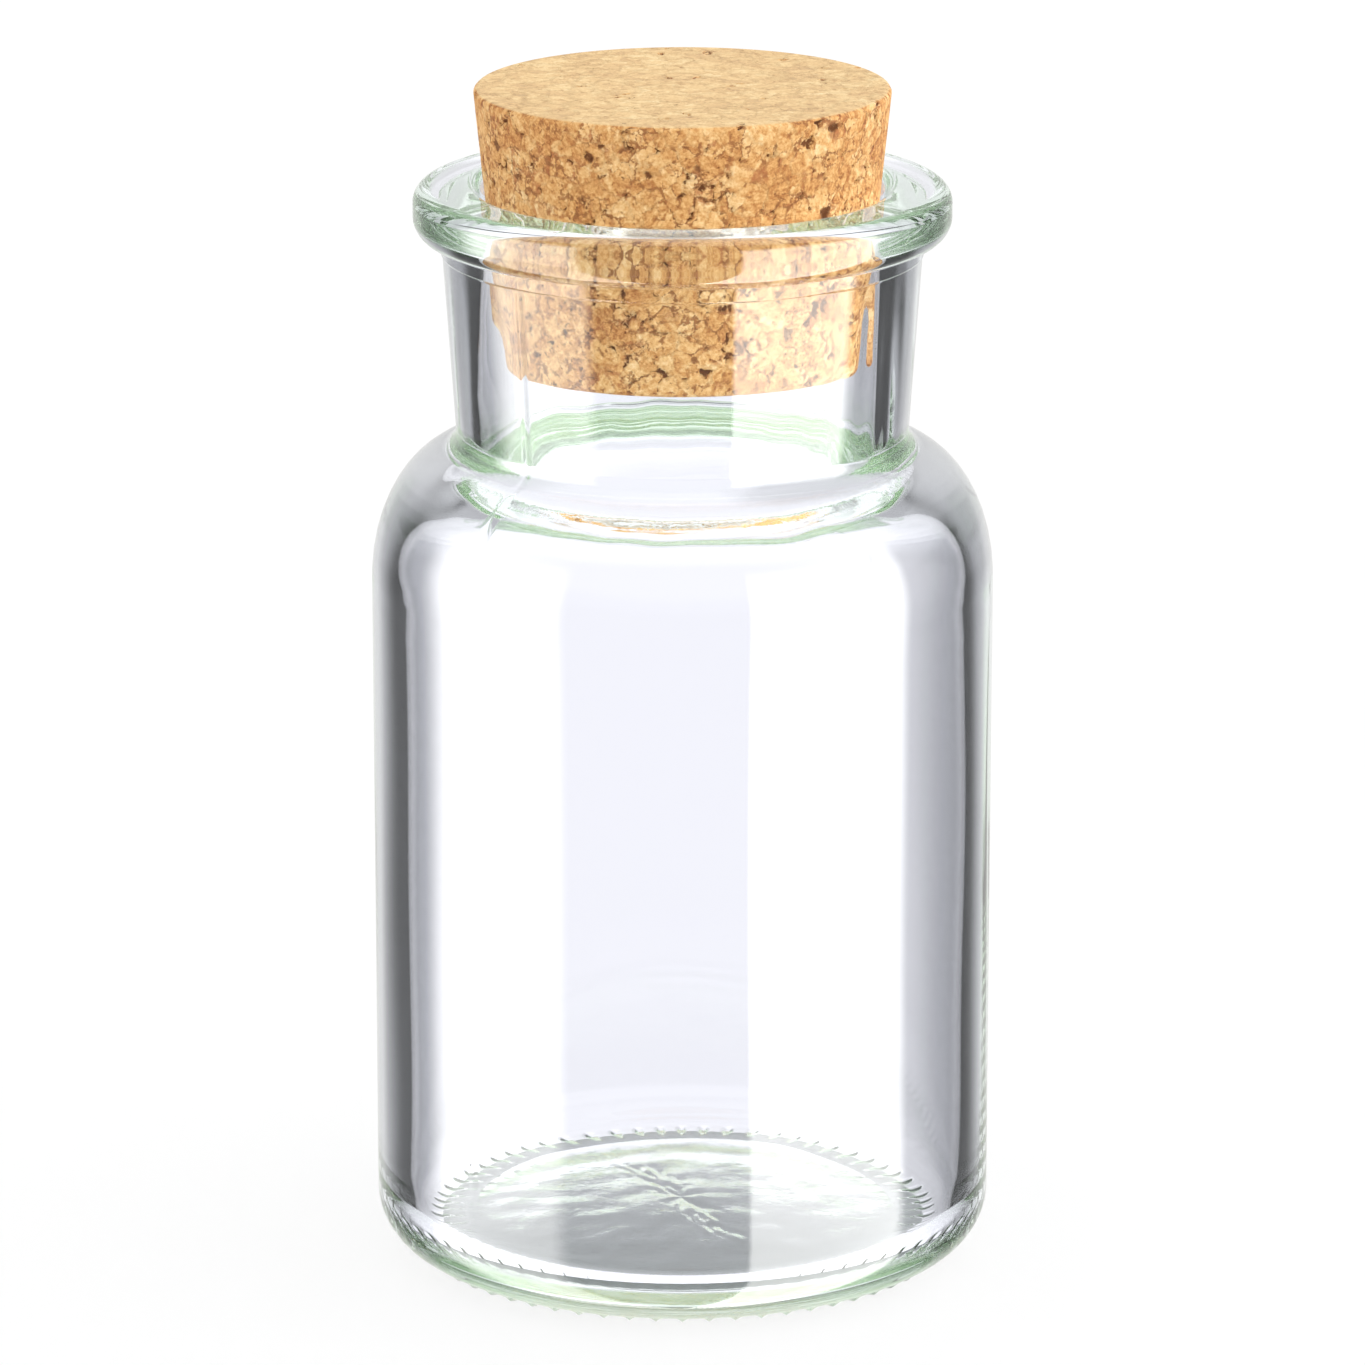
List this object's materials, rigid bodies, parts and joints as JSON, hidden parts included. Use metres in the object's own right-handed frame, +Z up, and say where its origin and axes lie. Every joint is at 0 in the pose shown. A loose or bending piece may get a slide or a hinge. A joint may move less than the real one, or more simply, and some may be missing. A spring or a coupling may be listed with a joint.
{
  "type": "glass jar with cork stopper",
  "caption": "Clear round glass storage jar with a rounded shoulder, narrow neck and thick lip, closed by a tapered push-in cork stopper.",
  "frame": {"origin": "on the jar's axis, on the surface the jar stands on", "axes": "+Z up along the jar's axis, from the foot to the mouth; the jar looks the same from all round"},
  "size_m": [0.059, 0.059, 0.1135],
  "materials": {
    "jar_glass": "clear pressed glass, faintly green where it is thick, polished",
    "cork": "agglomerated cork, ground to shape, matt, with open pits"
  },
  "bodies": {
    "jar": {"glass_jar": "jar_glass"},
    "cork": {"cork_stopper": "cork"}
  },
  "joints": [
    {"name": "cork_lift", "type": "slide", "parent": "jar", "child": "cork", "axis": [0, 0, 1], "range_m": [0, 0.035]}
  ]
}
